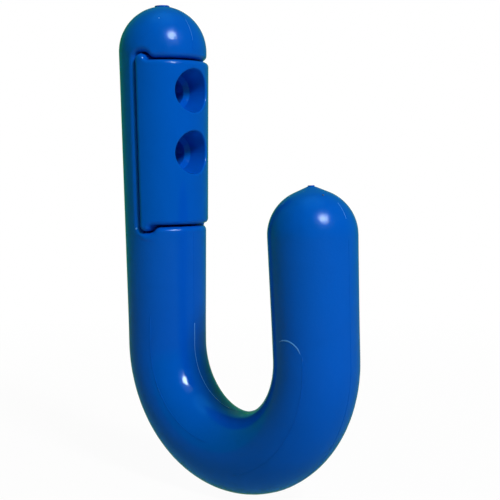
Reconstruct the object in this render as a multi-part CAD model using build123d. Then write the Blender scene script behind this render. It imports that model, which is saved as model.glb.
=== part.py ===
from build123d import *
import math
import os

# Coat hook: a round plastic rod bent into a J, with a screw block let into its stem.
# Millimetres. The origin is on the wall face, midway between the two screw holes.
# +Z is up, +Y goes into the wall, and the free leg stands out towards -Y.

# Rod
bend_tube_r = 9.12         # rod radius all the way round the bend
bend_r = 22.85             # radius of the bend's centre line
draft_deg = 0.94           # each leg grows thicker towards its tip by this angle a side
draft_ease = 6.0           # length over which a leg runs from the bend into its draft
lean_deg = 1.8             # the free leg leans this far back towards the stem
free_len = 25.75           # free leg, from the end of the bend to its dome
back_cut = 1.12            # depth of the flat cut into the back of the rod for the wall
wall_edge_r = 0.6          # rounding round that flat

# Stem, from the bend up
below_block = 27.76        # from the bend to the middle of the lower gap
block_len = 37.71          # from the middle of the lower gap to that of the upper gap
above_block = 2.13         # from there to the foot of the dome

# Domed ends: a ball drawn up a little, then a low cone with a moulding nib on its tip
stem_dome_rise = 0.385
stem_cone_w = 0.48
stem_nib_r = 1.7
stem_nib_h = 0.28
free_dome_rise = 0.15
free_cone_w = 2.93
free_nib_r = 0.7
free_nib_h = 0.2

# Cut-out and screw block
block_seat = 0.9           # the cut-out's floor, in front of the rod axis
gap = 0.45                 # clearance round the block
proud = 0.45               # how far the block stands out of the rod
lip_r = 1.25               # round lips on the block's rear corners
lip_neck_r = 0.9           # hollow where a lip meets the block's end face
block_edge_r = 1.0        # rounding of the block's edges
undercut_neck_r = 1.6      # rounding where an undercut meets the gap
body_edge_r = 1.25          # rounding of the cut-out's edges

# Screw holes
upper_hole_drop = 7.12     # upper hole below the middle of the upper gap
hole_spacing = 14.0
hole_r = 3.0
seat_w = 1.0               # width of the countersunk ring round the hole, at 45 degrees
seat_stand = 3.7           # outer edge of that ring in front of the cut-out's floor
recess_flare = 1.0         # the recess is this much wider at the skin than at the ring
mouth_edge_r = 0.35
boss_w = 1.0               # the boss behind a hole reaches this far past the ring

# Mould parting line: a fine ridge round the rod in its X = 0 plane
ridge_w = 0.3
ridge_h = 0.04
ridge_end = 0.3            # it stops this far short of a rounded edge

# Slack for cutters that run past a face, and for telling which edges lie on a surface
past = 1.0
near = 0.01

# Derived sizes and places
draft = math.tan(math.radians(draft_deg))
stem_len = below_block + block_len + above_block
undercut_r = lip_r + gap
seat_r = hole_r + seat_w
mouth_r = seat_r + recess_flare
boss_r = seat_r + boss_w
axis_y = back_cut - bend_tube_r
floor_y = axis_y - block_seat
slot_top = upper_hole_drop + hole_spacing / 2
slot_bottom = slot_top - block_len
slot_middle = slot_top - block_len / 2
bend_z = slot_bottom - below_block
screw_heights = [hole_spacing / 2, -hole_spacing / 2]


def leg_r(height):
    """Radius of a leg at a height above the bend, past the eased stretch."""
    return bend_tube_r + (height - draft_ease / 2) * draft


def skin_r(z):
    """Radius of the stem at a level of the finished hook."""
    return leg_r(z - bend_z)


def leg(length, rise, cone_w, nib_r, nib_h, grow):
    """A drafted leg along +Z from the origin, closed by its dome, cone and nib."""
    slope = math.radians(draft_deg)
    foot_r = bend_tube_r + grow
    eased_r = leg_r(draft_ease) + grow
    top_r = leg_r(length) + grow
    dome_r = (top_r + rise) / math.cos(slope)
    dome_z = length + dome_r * math.sin(slope)
    tip = math.acos((nib_r + cone_w + rise) / dome_r)

    def on_dome(angle):
        return (dome_r * math.cos(angle) - rise, 0, dome_z + dome_r * math.sin(angle))

    shoulder = Vector(on_dome(tip))
    nib_z = shoulder.Z + cone_w / math.tan(tip)
    ease = TangentArc((foot_r, 0, 0), (eased_r, 0, draft_ease), tangent=(0, 0, 1))
    side = Line((eased_r, 0, draft_ease), (top_r, 0, length))
    dome = ThreePointArc((top_r, 0, length), on_dome((tip - slope) / 2), shoulder)
    rest = Polyline(
        shoulder,
        (nib_r, 0, nib_z),
        (nib_r, 0, nib_z + nib_h),
        (0, 0, nib_z + nib_h),
        (0, 0, 0),
        (foot_r, 0, 0),
    )
    outline = make_face([ease, side, dome, *rest.edges()])
    return revolve(outline, Axis.Z, 360)


def make_rod(grow=0):
    """The whole J, still round at the back and without its cut-out, thicker by a given skin."""
    stem = leg(stem_len, stem_dome_rise, stem_cone_w, stem_nib_r + grow, stem_nib_h, grow)
    free = leg(free_len, free_dome_rise, free_cone_w, free_nib_r + grow, free_nib_h, grow)
    bend_axis = Axis((0, -bend_r, 0), (1, 0, 0))
    sweep_deg = 180 + lean_deg
    bend = revolve(Plane.XY * Circle(bend_tube_r + grow), bend_axis, -sweep_deg)
    # The free leg is turned end over end and carried round to the far end of the bend.
    free = free.rotate(Axis.X, 180)
    free = free.rotate(bend_axis, -sweep_deg)
    return Pos(0, axis_y, bend_z) * (stem + bend + free)


def cut_flat_back(rod):
    """Cut the flat that lies on the wall and soften its outline."""
    size = rod.bounding_box().size
    wall = Pos(0, size.Y / 2, 0) * Box(2 * size.X, size.Y, 4 * size.Z)
    flat_rod = rod - wall
    flat_face = flat_rod.faces().sort_by(Axis.Y)[-1]
    return fillet(flat_face.edges(), wall_edge_r)


def make_ridge():
    """The parting line: a thin plate of a thicker rod, clear of the wall and of the cut-out."""
    rod = make_rod(ridge_h)
    size = rod.bounding_box().size
    plate = rod & Box(ridge_w, 4 * size.Y, 4 * size.Z)
    wall_y = -2 * wall_edge_r
    plate = plate - Pos(0, wall_y + size.Y / 2, 0) * Box(size.X, size.Y, 4 * size.Z)
    height = block_len + gap + 2 * (body_edge_r + ridge_end)
    return plate - Pos(0, floor_y - size.Y / 2, slot_middle) * Box(size.X, size.Y, height)


def block_shape(rear_y, clear, round_r, neck_r):
    """The block or its cut-out across the rod: a slab with a round at each rear corner."""
    front_y = axis_y - 2 * bend_tube_r
    round_y = rear_y - round_r
    neck_y = round_y - math.sqrt(round_r ** 2 - clear ** 2)
    width = 4 * bend_tube_r
    with BuildSketch(Plane.YZ.offset(-width / 2)) as side_view:
        with Locations((rear_y - round_r / 2, slot_middle)):
            Rectangle(round_r, block_len)
        with Locations(((round_y + front_y) / 2, slot_middle)):
            Rectangle(round_y - front_y, block_len + 2 * clear)
        with Locations((round_y, slot_top), (round_y, slot_bottom)):
            Circle(round_r)
        necks = side_view.vertices().filter_by(lambda v: abs(v.X - neck_y) < near)
        fillet(necks, neck_r)
    return extrude(side_view.sketch, width)


def skin_edges(part, offset, bottom, top):
    """Edges of a part between two levels that lie on the stem's skin, in front of the floor."""

    def is_rim(edge):
        p = edge @ 0.5
        radius = math.hypot(p.X, p.Y - axis_y)
        inside = bottom - near < p.Z < top + near and p.Y < floor_y + near
        return inside and abs(radius - skin_r(p.Z) - offset) < near

    return part.edges().filter_by(is_rim)


def make_body():
    """The J with its cut-out, undercuts and screw holes."""
    cut_out = block_shape(floor_y, gap / 2, undercut_r, undercut_neck_r)
    body = cut_flat_back(make_rod()) - cut_out
    rims = skin_edges(body, 0, slot_bottom - undercut_r, slot_top + undercut_r)
    body = fillet(rims, min(body_edge_r, undercut_neck_r)) + make_ridge()
    length = past - (floor_y - past)
    for z in screw_heights:
        hole = Pos(0, past - length / 2, z) * Rot(90, 0, 0) * Cylinder(hole_r, length)
        body = body - hole
    return body


def make_recess(z):
    """Cutter for one screw: tapered recess, countersunk ring and clear hole."""
    ring_y = floor_y - seat_stand
    skin_y = axis_y - skin_r(z) - proud
    taper = recess_flare / (ring_y - skin_y)
    front_y = skin_y - past
    front_r = mouth_r + past * taper
    outline = Polyline(
        (0, front_y, 0),
        (front_r, front_y, 0),
        (seat_r, ring_y, 0),
        (hole_r, ring_y + seat_w, 0),
        (hole_r, floor_y + past, 0),
        (0, floor_y + past, 0),
        close=True,
    )
    return Pos(0, 0, z) * revolve(make_face(outline), Axis.Y, 360)


def make_block():
    """The screw block: a slice of a slightly thicker rod, with lips and screw recesses."""
    foot_r = leg_r(0) + proud
    head_r = leg_r(stem_len) + proud
    half = Polyline(
        (0, 0, 0),
        (foot_r, 0, 0),
        (head_r, 0, stem_len),
        (0, 0, stem_len),
        close=True,
    )
    blank = Pos(0, axis_y, bend_z) * revolve(make_face(half), Axis.Z, 360)
    block = blank & block_shape(floor_y - gap, -gap / 2, lip_r, lip_neck_r)
    rims = skin_edges(block, proud, slot_bottom - lip_r, slot_top + lip_r)
    block = fillet(rims, min(block_edge_r, lip_r))
    for z in screw_heights:
        boss = Pos(0, floor_y - gap, z) * Rot(90, 0, 0) * Cylinder(boss_r, 2 * gap)
        block = block + boss - make_recess(z)
        mouth = skin_edges(block, proud, z - mouth_r, z + mouth_r)
        block = fillet(mouth, mouth_edge_r)
    return block


os.makedirs("parts", exist_ok=True)
nodes = {"hook_body": make_body(), "screw_block": make_block()}
for name, solid in nodes.items():
    export_step(solid, f"parts/{name}.step")
    box = solid.bounding_box()
    print(name, len(solid.solids()), round(solid.volume, 1), box.min, box.max)
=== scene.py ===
# %% [markdown]
# # A coat hook in glossy blue plastic
#
# The object is a wall hook: a round rod bent into a J, with a screw block let into its stem.
# Both are injection moulded in one solid-coloured plastic. The solids come packed at their real
# size, in metres. The origin is on the wall face, +Z is up, and -Y points out of the wall.
# This script gives them their skin, the fine lines that the mould leaves, and a plain studio.

# %% Load the solids
import math

import bmesh
import bpy
from mathutils import Matrix, Vector


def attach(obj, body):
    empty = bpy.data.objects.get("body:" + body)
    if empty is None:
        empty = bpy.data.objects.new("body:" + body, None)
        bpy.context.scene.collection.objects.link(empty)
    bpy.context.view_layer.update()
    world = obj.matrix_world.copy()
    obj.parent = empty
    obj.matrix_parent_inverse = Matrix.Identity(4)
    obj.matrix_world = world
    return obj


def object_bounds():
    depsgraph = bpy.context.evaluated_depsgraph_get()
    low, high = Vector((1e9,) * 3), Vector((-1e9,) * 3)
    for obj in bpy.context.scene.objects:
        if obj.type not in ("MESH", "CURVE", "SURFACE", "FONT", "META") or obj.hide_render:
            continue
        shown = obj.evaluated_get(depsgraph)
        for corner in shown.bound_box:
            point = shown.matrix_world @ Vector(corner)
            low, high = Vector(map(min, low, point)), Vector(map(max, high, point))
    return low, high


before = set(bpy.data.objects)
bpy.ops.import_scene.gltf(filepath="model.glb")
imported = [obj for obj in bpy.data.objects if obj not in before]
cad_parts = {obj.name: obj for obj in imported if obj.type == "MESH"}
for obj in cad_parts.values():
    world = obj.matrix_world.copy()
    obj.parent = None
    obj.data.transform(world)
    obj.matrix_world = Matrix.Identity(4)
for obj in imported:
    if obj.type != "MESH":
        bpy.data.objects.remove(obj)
cad_low, cad_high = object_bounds()
middle = (cad_low + cad_high) / 2
print("solids:", sorted(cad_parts), "size", [round(x, 4) for x in cad_high - cad_low])

# %% [markdown]
# ## Helpers for materials
#
# A material in Blender is a small graph. One function adds a node, sets its sockets and links
# its inputs, so each finish below reads as a list of steps. Colours are written as they look on
# a screen, and the shader wants them linear, so `linear` turns one into the other.
#
# A noise texture is sized by its scale, which is how many patches fit in one metre. A patch has
# a real width, so `noise_scale` works the scale out from that width. One pixel of this picture
# covers about a quarter of a millimetre of the hook, and a grain finer than that wouldn't show.

# %% Nodes, colours and pattern sizes
def add_node(tree, kind, settings=None, links=None):
    """Add a node, set attributes and sockets by name or number, and link sockets to its inputs."""
    node = tree.nodes.new(kind)
    for name, value in (settings or {}).items():
        if isinstance(name, str) and hasattr(node, name):
            setattr(node, name, value)
        else:
            node.inputs[name].default_value = value
    for name, socket in (links or {}).items():
        tree.links.new(socket, node.inputs[name])
    return node


def blank_material(name):
    """A new material, and its graph with nothing in it yet."""
    material = bpy.data.materials.new(name)
    material.use_nodes = True
    material.node_tree.nodes.clear()
    return material, material.node_tree


def linear(hex_colour):
    """Linear RGBA of an sRGB hex colour."""
    values = [int(hex_colour[i:i + 2], 16) / 255 for i in (1, 3, 5)]
    return [v / 12.92 if v <= 0.04045 else ((v + 0.055) / 1.055) ** 2.4 for v in values] + [1.0]


def noise_scale(patch_mm):
    """Scale of a noise on coordinates in metres whose patches are about this wide."""
    return float(round(1000 / patch_mm))


print("mould blue, linear:", [round(v, 3) for v in linear("#004FB8")])
print("patches 4 mm wide need a scale of", noise_scale(4.0))

# %% [markdown]
# ## The plastic
#
# The hook is moulded in polypropylene or a like plastic, coloured right through, in a polished
# steel tool. Three things keep it from looking like paint:
#
# - the pigment runs in faint streaks, because the melt was still mixing as it filled the tool;
# - the skin has a slight orange peel, which breaks a reflection up into a speckled patch;
# - the tool was polished brightest in the bend, so the legs are a little duller and their peel
#   is stronger, while the screw block comes from a smaller tool that is bright all over.
#
# All three follow the object's own coordinates, so they stay with it from every side. The
# refractive index is a plastic's own. The reflection has a light blue tint, because pigment
# lies close under the skin.

# %% Blue moulded plastic
streak_mm = 11.1       # a flow streak is a little wider than half the rod
handling_mm = 3.85     # patches that fingers have dulled, a few millimetres wide
handling_share = 0.05  # how much roughness they add at most
peel_mm = 0.4545       # real orange peel is half as wide: too fine to show, so drawn coarser
peel_height = 0.0001   # how far the skin would rise at full strength
plastic_ior = 1.49
bend_roughness, bend_peel = 0.1, 0.02
from_bend_to_legs = {"From Min": -0.062, "From Max": -0.03}  # levels in metres


def blue_plastic(name, leg_roughness, leg_peel):
    """Solid-coloured polypropylene, bright in the bend, with its roughness and peel above it."""
    material, tree = blank_material(name)
    place = add_node(tree, "ShaderNodeTexCoord").outputs["Object"]
    height = add_node(tree, "ShaderNodeSeparateXYZ", links={0: place}).outputs["Z"]
    streaks = add_node(
        tree, "ShaderNodeTexNoise",
        {"Scale": noise_scale(streak_mm), "Detail": 3.0, "Distortion": 1.5},
        {"Vector": place},
    )
    pigment = add_node(
        tree, "ShaderNodeMix",
        {"data_type": "RGBA", 6: linear("#004DB4"), 7: linear("#0051BC")},
        {0: streaks.outputs["Fac"]},
    )
    polish = add_node(
        tree, "ShaderNodeMapRange",
        {**from_bend_to_legs, "To Min": bend_roughness, "To Max": leg_roughness},
        {"Value": height},
    )
    handling = add_node(
        tree, "ShaderNodeTexNoise",
        {"Scale": noise_scale(handling_mm), "Detail": 4.0, "Roughness": 0.6},
        {"Vector": place},
    )
    roughness = add_node(
        tree, "ShaderNodeMath", {"operation": "MULTIPLY_ADD", 1: handling_share},
        {0: handling.outputs["Fac"], 2: polish.outputs["Result"]},
    )
    orange_peel = add_node(
        tree, "ShaderNodeTexNoise", {"Scale": noise_scale(peel_mm), "Detail": 2.0},
        {"Vector": place},
    )
    peel_strength = add_node(
        tree, "ShaderNodeMapRange",
        {**from_bend_to_legs, "To Min": bend_peel, "To Max": leg_peel},
        {"Value": height},
    )
    dimples = add_node(
        tree, "ShaderNodeBump", {"Distance": peel_height},
        {"Height": orange_peel.outputs["Fac"], "Strength": peel_strength.outputs["Result"]},
    )
    shader = add_node(
        tree, "ShaderNodeBsdfPrincipled",
        {"IOR": plastic_ior, "Specular Tint": linear("#A0E8FF")},
        {
            "Base Color": pigment.outputs[2],
            "Roughness": roughness.outputs[0],
            "Normal": dimples.outputs["Normal"],
        },
    )
    add_node(tree, "ShaderNodeOutputMaterial", links={"Surface": shader.outputs["BSDF"]})
    return material


plastic = blue_plastic(
    "blue_polypropylene_moulded_gloss", leg_roughness=0.2, leg_peel=0.35,
)
block_plastic = blue_plastic(
    "blue_polypropylene_moulded_high_gloss", leg_roughness=0.08, leg_peel=0.03,
)
for name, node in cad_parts.items():
    node.data.materials.clear()
    node.data.materials.append(block_plastic if name == "screw_block" else plastic)
    print(name, "faces", len(node.data.polygons))

# %% [markdown]
# ## Lines that the mould leaves
#
# The two halves of the tool meet in the plane X = 0, and that fine ridge is part of the solids.
# The photograph shows a second tool insert on the side of the bend. Its edge is a plane too, so
# it cuts the round rod in two lines that run along the rod, and it ends on the free leg in a
# half-round step, whose edge is painted paler than the rest as a painted highlight.
#
# Each line is a real bead, half sunk in the rod. A small circle is spun round the axis of the
# bend, which lies at the level where the straight legs begin, and its first ring is drawn on up
# the leg. The beads are made on both sides, since the tool has two like halves.

# %% Bead along an arc
rod_r = 0.00912
bend_centre = (-0.03085, -0.05135)  # Y and Z of the bend's axis
bend_r = 0.02285                    # from there to the rod's centre line
bead_sides = 8
bead_steps = 64


def spin_bead(centre, x, radius, thickness, start, sweep):
    """A round bead spun about an axis along X. Angles are in degrees: 0 is +Y and 90 is +Z."""
    bm = bmesh.new()
    ring = bmesh.ops.create_circle(bm, segments=bead_sides, radius=thickness)["verts"]
    # The circle lies in the XY plane, which is square to the path at 0 degrees.
    bmesh.ops.translate(bm, verts=ring, vec=(x, centre[0] + radius, centre[1]))
    axis_point = (x, centre[0], centre[1])
    bmesh.ops.rotate(
        bm, verts=ring, cent=axis_point, matrix=Matrix.Rotation(math.radians(start), 3, "X"),
    )
    bmesh.ops.spin(
        bm, geom=bm.verts[:] + bm.edges[:], cent=axis_point, axis=(1, 0, 0),
        angle=math.radians(sweep), steps=bead_steps,
    )
    return bm, ring


def draw_on(bm, ring, move):
    """Lengthen a bead in a straight line from the ring that it was spun from."""
    edges = [e for e in bm.edges if e.is_boundary and set(e.verts) <= set(ring)]
    grown = bmesh.ops.extrude_edge_only(bm, edges=edges)["geom"]
    moved = [v for v in grown if isinstance(v, bmesh.types.BMVert)]
    bmesh.ops.translate(bm, verts=moved, vec=move)


def add_piece(name, bm, material):
    """Close the ends, turn the faces outward, and hand the piece to the body."""
    bmesh.ops.holes_fill(bm, edges=[e for e in bm.edges if e.is_boundary])
    bmesh.ops.recalc_face_normals(bm, faces=bm.faces)
    mesh = bpy.data.meshes.new(name)
    bm.to_mesh(mesh)
    bm.free()
    mesh.shade_smooth()
    mesh.materials.append(material)
    piece = bpy.data.objects.new(name, mesh)
    bpy.context.scene.collection.objects.link(piece)
    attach(piece, "root")
    print(name, "faces", len(mesh.polygons))


print("bend: inner radius", round(bend_r - rod_r, 5), "outer radius", round(bend_r + rod_r, 5))

# %% Insert lines
insert_x = 0.0085  # the insert's edge plane, out from the middle of the rod
half_band = math.sqrt(rod_r ** 2 - insert_x ** 2)
line_r = 0.00008
insert_lines = [
    # name, radius about the bend's axis, start and sweep in degrees, straight run up the leg
    ("outer", bend_r + half_band, 180, 75, (0, 0, 0.0025)),
    ("inner", bend_r - half_band, 0, -85, (0, -0.00018, 0.007)),
]

for side, tag in ((-1, "left"), (1, "right")):
    for line, radius, start, sweep, straight_run in insert_lines:
        bead, ring = spin_bead(bend_centre, side * insert_x, radius, line_r, start, sweep)
        draw_on(bead, ring, straight_run)
        add_piece(f"insert_line_{line}_{tag}", bead, plastic)

# %% [markdown]
# ## The half-round step
#
# The insert ends on the free leg. Its end is an arc in the side view, but it lies on a round
# leg, so after it is spun flat it is wrapped: every vertex moves in by as much as the leg's
# surface falls away there. It also sinks towards its two ends, and so runs out to nothing.
#
# The edge is painted pale and matt: a painted highlight in place of the bright line that light
# gives along the step. The same function gives the other pale lines, the painted glint and each
# fleck their patchy colour.

# %% Patchy plastic for painted highlights and fleck colours
def patchy_plastic(name, patch_mm, one_tone, other_tone, roughness):
    """Polypropylene whose colour wanders between two tones, in patches of one width."""
    material, tree = blank_material(name)
    place = add_node(tree, "ShaderNodeTexCoord").outputs["Object"]
    patches = add_node(
        tree, "ShaderNodeTexNoise", {"Scale": noise_scale(patch_mm), "Detail": 2.0},
        {"Vector": place},
    )
    tone = add_node(
        tree, "ShaderNodeMix",
        {"data_type": "RGBA", 6: linear(one_tone), 7: linear(other_tone)},
        {0: patches.outputs["Fac"]},
    )
    shader = add_node(
        tree, "ShaderNodeBsdfPrincipled", {"Roughness": roughness, "IOR": plastic_ior},
        {"Base Color": tone.outputs[2]},
    )
    add_node(tree, "ShaderNodeOutputMaterial", links={"Surface": shader.outputs["BSDF"]})
    return material


# The pale tone of the painted highlight wanders in patches drawn 0.4 mm wide.
pale_patch_mm = 0.4
# painted highlight: pale blue for the bright lines that light gives along the beads, and the pale
# fleck's colour
painted_highlight_and_pale_fleck = patchy_plastic(
    "blue_polypropylene_painted_highlight_and_pale_fleck", pale_patch_mm, "#2C78D0", "#5CA0E8", roughness=0.35,
)
print("pale patches drawn", pale_patch_mm, "mm wide, scale", noise_scale(pale_patch_mm))

# %% Step on the free leg
leg_y = -0.05365                 # Y of the free leg's axis at the step
step_centre = (-0.053, -0.0495)  # Y and Z
step_r = 0.00375
step_start, step_sweep = 28, 144
edge_r = 0.0002                  # half the thickness of the step's edge, painted pale as a highlight
run_out = 0.4                    # the smaller it is, the shorter the sinking ends

for side, tag in ((-1, "left"), (1, "right")):
    bead, _ = spin_bead(
        step_centre, side * (rod_r - edge_r / 2), step_r, edge_r, step_start, step_sweep,
    )
    for v in bead.verts:
        angle = math.degrees(math.atan2(v.co.z - step_centre[1], v.co.y - step_centre[0]))
        along = min(max((angle - step_start) / step_sweep, 0.0), 1.0)
        fullness = max(math.sin(math.pi * along), 0.0) ** run_out
        falls = rod_r - math.sqrt(rod_r ** 2 - (v.co.y - leg_y) ** 2)
        v.co.x -= side * (falls + edge_r * (1 - fullness))
    add_piece(f"insert_step_{tag}", bead, painted_highlight_and_pale_fleck)

# %% [markdown]
# ## Painted highlight on the ridge, a pale and a dark fleck, and a painted glint
#
# The parting ridge is painted pale too, as a painted highlight along its crest, inside the bend
# and on the crowns of both domes. Inside the bend it is one more bead. A dome isn't round enough
# for that, so there a narrow strip is cut from a copy of the solid itself, lifted and given a
# thickness.
#
# A pale fleck and a dark one are in the skin; the dark one was scorched in the hot barrel of the
# machine. A pale dot on the rounded rim by the lower ear is a painted glint. Each is a small ball
# sunk until only its cap stands out.

# %% Painted highlight along the ridge inside the bend
ridge_bead_r = 0.0001
bead, ring = spin_bead(bend_centre, 0, bend_r - rod_r, ridge_bead_r, start=0, sweep=-80)
draw_on(bead, ring, move=(0, -0.00013, 0.005))
add_piece("parting_ridge_bend_painted_highlight", bead, painted_highlight_and_pale_fleck)

# %% Painted highlight along the ridge on the domes
weld_gap, plane_gap = 1e-6, 1e-7  # points closer than this count as one, or as on the plane


def crest_strip(part, half_width, lift, keep):
    """A thin strip cut from a copy of a solid along its X = 0 plane, where keep(centre) holds."""
    bm = bmesh.new()
    bm.from_mesh(part.data)
    bmesh.ops.remove_doubles(bm, verts=bm.verts, dist=weld_gap)
    for side in (-1, 1):
        bmesh.ops.bisect_plane(
            bm, geom=bm.verts[:] + bm.edges[:] + bm.faces[:], dist=plane_gap,
            plane_co=(side * half_width, 0, 0), plane_no=(side, 0, 0), clear_outer=True,
        )
    rest = [f for f in bm.faces if not keep(f.calc_center_median())]
    bmesh.ops.delete(bm, geom=rest, context="FACES")
    bmesh.ops.recalc_face_normals(bm, faces=bm.faces)
    bm.normal_update()
    for v in bm.verts:
        v.co += lift * v.normal
    bmesh.ops.solidify(bm, geom=bm.faces[:], thickness=2 * lift)
    return bm


crest_lift = 0.00002
crests = [
    # name, half of the strip's width, and where the crest is painted pale as a highlight
    ("stem", 0.000025, lambda c: 0.018 < c.z < 0.0235 and c.y < -0.010),
    ("free", 0.000035, lambda c: -0.021 < c.z < -0.0178 and c.y < -0.056),
]
for dome, half_width, is_painted_pale in crests:
    strip = crest_strip(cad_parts["hook_body"], half_width, crest_lift, is_painted_pale)
    add_piece(f"parting_ridge_{dome}_dome", strip, painted_highlight_and_pale_fleck)

# %% Fleck balls and a painted glint
# The char in a scorched fleck is finer than a pixel, so its grain is drawn one pixel wide.
char_mm = 0.25
scorched = patchy_plastic(
    "scorched_polypropylene_fleck", char_mm, "#06142C", "#0A2A58", roughness=0.4,
)
sunk = 0.75  # how deep a ball's centre lies under the skin, as a share of its radius
flecks_and_glint = [
    # name, material, place on the skin, direction out of the skin, radius of the ball
    ("fleck_pale", painted_highlight_and_pale_fleck,
     (-0.00567, -0.01308, 0.02331), (-0.571, -0.507, 0.646), 0.0003),
    # painted glint: a pale dot for the lamp's glint on the rounded rim by the lower ear
    ("painted_glint_low", painted_highlight_and_pale_fleck,
     (-0.00943, -0.00823, -0.02424), (-0.935, -0.333, 0.119), 0.0004),
    ("fleck_dark", scorched,
     (-0.00175, -0.05712, -0.01635), (-0.183, -0.463, 0.867), 0.00042),
]
for name, material, spot, outward, radius in flecks_and_glint:
    bm = bmesh.new()
    bmesh.ops.create_icosphere(bm, subdivisions=2, radius=radius)
    bmesh.ops.translate(bm, verts=bm.verts, vec=Vector(spot) - sunk * radius * Vector(outward))
    add_piece(name, bm, material)

# %% [markdown]
# ## The studio
#
# A glossy rod is lit by what it reflects. The photograph has one soft lamp high up in front and
# to the left, which gives the small bright spots, and a white surround that is too far away to
# show as a sheet of light. The lamp is a round soft box. Its direction is found from a spot's
# place: half-way between the ray to the camera and the ray to the lamp lies the surface normal.
# A second, wider lamp behind the hook lights only the sides that the photograph doesn't show.

# %% Lamps
lamp_distance = 0.8


def aim(azimuth, elevation):
    """Unit vector towards a lamp: azimuth 0 is in front of the wall, negative is towards -X."""
    a = math.radians(azimuth)
    e = math.radians(elevation)
    return Vector((math.sin(a) * math.cos(e), -math.cos(a) * math.cos(e), math.sin(e)))


def add_lamp(name, direction, size, energy):
    """A round soft box that faces the hook and that reflections don't see."""
    data = bpy.data.lights.new(name, "AREA")
    data.shape = "DISK"
    data.size = size
    data.energy = energy
    lamp = bpy.data.objects.new(name, data)
    lamp.location = middle + lamp_distance * direction
    lamp.rotation_mode = "QUATERNION"
    lamp.rotation_quaternion = direction.to_track_quat("Z", "Y")
    lamp.visible_glossy = False
    bpy.context.scene.collection.objects.link(lamp)
    print(name, "at", [round(x, 3) for x in lamp.location])
    return lamp


key_direction = aim(-15.0, 41.0)
key = add_lamp("key", key_direction, size=0.16, energy=6.3)
add_lamp("back_fill", aim(138.0, 15.0), size=0.4, energy=4.2)

# %% [markdown]
# The lamp's own reflection would burn out. So the light hides from reflections, and a dimmer
# disc in its place is what they see: the diffuser on the soft box. It is a little wider than
# the lamp, as cloth is stretched past the edge. The blue skin tints what it reflects, so the
# disc is a warm one and comes back nearly white. Only a first reflection shows it, as the two
# legs would pass it on to each other as a stray spot.

# %% Face of the soft box
diffuser_r = 0.1
diffuser_sides = 48
diffuser_strength = 70.0
past_first = 1.5  # a ray's depth is 1 at its first reflection and 2 at its second


def add_stage(name, bm, material):
    """Put a mesh in the studio. It is stage, so it isn't part of the hook."""
    mesh = bpy.data.meshes.new(name)
    bm.to_mesh(mesh)
    bm.free()
    mesh.materials.append(material)
    thing = bpy.data.objects.new(name, mesh)
    bpy.context.scene.collection.objects.link(thing)
    return thing


def show_in_reflections_only(thing):
    """Hide a thing from the camera, from soft light, from clear materials and from shadows."""
    thing.visible_camera = False
    thing.visible_diffuse = False
    thing.visible_transmission = False
    thing.visible_shadow = False


def diffuser_cloth():
    """A warm glow that only the first reflection of a ray sees."""
    material, tree = blank_material("warm_diffuser_cloth")
    depth = add_node(tree, "ShaderNodeLightPath").outputs["Ray Depth"]
    once = add_node(
        tree, "ShaderNodeMath", {"operation": "LESS_THAN", 1: past_first}, {0: depth},
    )
    strength = add_node(
        tree, "ShaderNodeMath", {"operation": "MULTIPLY", 1: diffuser_strength},
        {0: once.outputs[0]},
    )
    glow = add_node(
        tree, "ShaderNodeEmission", {"Color": linear("#FFC8B4")},
        {"Strength": strength.outputs[0]},
    )
    add_node(tree, "ShaderNodeOutputMaterial", links={"Surface": glow.outputs[0]})
    return material


bm = bmesh.new()
bmesh.ops.create_circle(bm, cap_ends=True, segments=diffuser_sides, radius=diffuser_r)
bmesh.ops.rotate(
    bm, verts=bm.verts, cent=(0, 0, 0), matrix=key.rotation_quaternion.to_matrix(),
)
bmesh.ops.translate(bm, verts=bm.verts, vec=key.location)
show_in_reflections_only(add_stage("diffuser", bm, diffuser_cloth()))
print("diffuser", 2 * diffuser_r, "m across, lamp", round(key.data.size, 3), "m across")

# %% [markdown]
# ## Floor
#
# The hook stands on a sheet of pale paper, so that it keeps a soft shadow. A product photograph
# burns such a sheet out to white. Here the paper glows for the camera and in reflections. It
# still catches the shadow close to the hook and is pure white further off, where a horizon
# would show. Towards soft light it glows only faintly, which lifts the underside of the bend.

# %% Paper sweep
floor_size = 6.0
shadow_reach, white_from = 0.09, 0.3  # distances from the origin
glow_at_hook = 0.96                   # the rest of the paper's colour is lit by the lamps
glow_in_soft_light = 0.06


def background_rays(tree):
    """1 for rays of the camera, of reflections and of clear materials, and 0 for soft light."""
    path = add_node(tree, "ShaderNodeLightPath")
    seen = add_node(
        tree, "ShaderNodeMath", {"operation": "MAXIMUM"},
        {0: path.outputs["Is Camera Ray"], 1: path.outputs["Is Glossy Ray"]},
    )
    return add_node(
        tree, "ShaderNodeMath", {"operation": "MAXIMUM"},
        {0: seen.outputs[0], 1: path.outputs["Is Transmission Ray"]},
    ).outputs[0]


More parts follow.
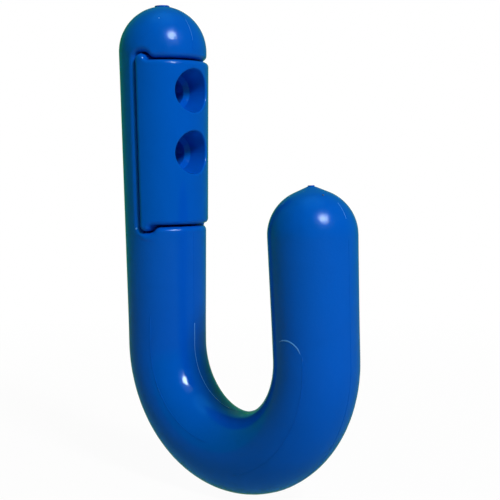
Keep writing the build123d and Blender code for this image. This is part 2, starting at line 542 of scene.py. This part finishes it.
def pale_paper():
    """Matt paper that whitens away from the hook."""
    material, tree = blank_material("pale_paper_matt")
    place = add_node(tree, "ShaderNodeTexCoord").outputs["Object"]
    away = add_node(tree, "ShaderNodeVectorMath", {"operation": "LENGTH"}, {0: place})
    white_share = add_node(
        tree, "ShaderNodeMapRange",
        {"From Min": shadow_reach, "From Max": white_from, "To Min": glow_at_hook, "To Max": 1.0},
        {"Value": away.outputs["Value"]},
    )
    share = add_node(
        tree, "ShaderNodeMath", {"operation": "MULTIPLY"},
        {0: background_rays(tree), 1: white_share.outputs["Result"]},
    )
    glow_share = add_node(
        tree, "ShaderNodeMath", {"operation": "MAXIMUM", 1: glow_in_soft_light},
        {0: share.outputs[0]},
    )
    paper = add_node(tree, "ShaderNodeBsdfDiffuse", {"Color": linear("#DCDCD8")})
    glow = add_node(tree, "ShaderNodeEmission", {"Strength": 1.0})
    mixed = add_node(
        tree, "ShaderNodeMixShader",
        links={0: glow_share.outputs[0], 1: paper.outputs[0], 2: glow.outputs[0]},
    )
    add_node(tree, "ShaderNodeOutputMaterial", links={"Surface": mixed.outputs[0]})
    return material


bm = bmesh.new()
bmesh.ops.create_grid(bm, x_segments=1, y_segments=1, size=floor_size)
bmesh.ops.translate(bm, verts=bm.verts, vec=(0, 0, cad_low.z))
add_stage("floor", bm, pale_paper())
print("floor at", round(cad_low.z, 5))

# %% [markdown]
# ## Flags
#
# White paper all round would wash the blue out with its reflection. A photographer sets dark
# cards, called flags, close round a glossy object to stop that. Here they are one drum that
# only reflections see. It glows with its colour instead of being lit: painted light in place of
# lit cards. It is spun from a line, closed at both ends and open to the lamp. Its wall is a dim
# green, because the skin's blue is added to it: together they give the greener blue along the
# sides of the rod. It is greyer to the right and near the floor. Towards the lid it pales slowly,
# so that no edge shows in the domes.

# %% Drum of cards
drum_r, drum_height = 0.3, 1.2
drum_rows, drum_columns = 40, 96
off_floor = 0.0005
window_deg = 20             # the lamp shines through a hole of this half angle
grey_reach = 0.25           # the wall greys from this far left to this far right
low_band = 0.03             # height of the grey band at the floor
pale_from, pale_at = 0.5, drum_height


def dim_card():
    """Painted light for lit card, as the skin sees it: a dim green that greys and pales by place.
    """
    material, tree = blank_material("dim_card_glow")
    place = add_node(tree, "ShaderNodeTexCoord").outputs["Object"]
    axes = add_node(tree, "ShaderNodeSeparateXYZ", links={0: place})
    across = add_node(
        tree, "ShaderNodeMapRange", {"From Min": -grey_reach, "From Max": grey_reach},
        {"Value": axes.outputs["X"]},
    )
    wall = add_node(
        tree, "ShaderNodeMix",
        {"data_type": "RGBA", 6: linear("#1CB030"), 7: linear("#349850")},
        {0: across.outputs["Result"]},
    )
    upward = add_node(
        tree, "ShaderNodeMapRange",
        {"interpolation_type": "SMOOTHSTEP", "From Min": pale_from, "From Max": pale_at},
        {"Value": axes.outputs["Z"]},
    )
    downward = add_node(
        tree, "ShaderNodeMapRange",
        {
            "interpolation_type": "SMOOTHSTEP",
            "From Min": cad_low.z + low_band, "From Max": cad_low.z,
        },
        {"Value": axes.outputs["Z"]},
    )
    low = add_node(
        tree, "ShaderNodeMix", {"data_type": "RGBA", 7: linear("#4C9068")},
        {0: downward.outputs["Result"], 6: wall.outputs[2]},
    )
    faded = add_node(
        tree, "ShaderNodeMix", {"data_type": "RGBA", 7: linear("#60F8FF")},
        {0: upward.outputs["Result"], 6: low.outputs[2]},
    )
    glow = add_node(tree, "ShaderNodeEmission", {"Strength": 1.0}, {"Color": faded.outputs[2]})
    add_node(tree, "ShaderNodeOutputMaterial", links={"Surface": glow.outputs[0]})
    return material


bm = bmesh.new()
foot = bm.verts.new((drum_r, 0, 0))
head = bm.verts.new((drum_r, 0, drum_height))
bm.edges.new((foot, head))
bmesh.ops.subdivide_edges(bm, edges=bm.edges[:], cuts=drum_rows - 1)
bmesh.ops.spin(
    bm, geom=bm.verts[:] + bm.edges[:], cent=(0, 0, 0), axis=(0, 0, 1),
    angle=math.tau, steps=drum_columns, use_merge=True,
)
bmesh.ops.edgeloop_fill(bm, edges=[e for e in bm.edges if e.is_boundary])
bmesh.ops.translate(bm, verts=bm.verts, vec=(middle.x, middle.y, cad_low.z + off_floor))
window = [
    f for f in bm.faces
    if (f.calc_center_median() - middle).angle(key_direction) < math.radians(window_deg)
]
print("flags:", len(bm.faces), "faces, of which", len(window), "are cut out for the lamp")
bmesh.ops.delete(bm, geom=window, context="FACES")
show_in_reflections_only(add_stage("flags", bm, dim_card()))

# %% [markdown]
# ## World and camera
#
# The world gives a weak even light to matt shading, and pure white to the camera and to
# reflections. The camera is the photograph's: it stands 24 cm from the middle of the hook, to
# the left and a little higher, and looks slightly down. The view transform is Standard, so that
# a colour renders as it is written.

# %% World
soft_light = 0.012

world = bpy.data.worlds.new("studio")
bpy.context.scene.world = world
world.use_nodes = True
tree = world.node_tree
tree.nodes.clear()
soft = add_node(
    tree, "ShaderNodeBackground", {"Color": linear("#F4FFE8"), "Strength": soft_light},
)
white = add_node(tree, "ShaderNodeBackground", {"Color": linear("#FFFFFF"), "Strength": 1.0})
mixed = add_node(
    tree, "ShaderNodeMixShader",
    links={0: background_rays(tree), 1: soft.outputs[0], 2: white.outputs[0]},
)
add_node(tree, "ShaderNodeOutputWorld", links={"Surface": mixed.outputs[0]})
print("world: soft light", soft_light, "behind a white background")

# %% Camera
camera_place = (-0.173417, -0.196401, -0.010986)
turn, look_down, roll = -47.062, 4.256, -0.655  # degrees

camera_data = bpy.data.cameras.new("camera")
camera_data.sensor_width = 36.0
camera_data.lens = 77.995
camera_data.clip_start = 0.01
camera_data.clip_end = 20.0
camera = bpy.data.objects.new("camera", camera_data)
camera.matrix_world = (
    Matrix.Translation(camera_place)
    @ Matrix.Rotation(math.radians(turn), 4, "Z")
    @ Matrix.Rotation(math.radians(90 - look_down), 4, "X")
    @ Matrix.Rotation(math.radians(roll), 4, "Z")
)
bpy.context.scene.collection.objects.link(camera)
bpy.context.scene.camera = camera
bpy.context.scene.view_settings.view_transform = "Standard"
print("camera", round((camera.matrix_world.translation - middle).length, 3), "m from the hook")
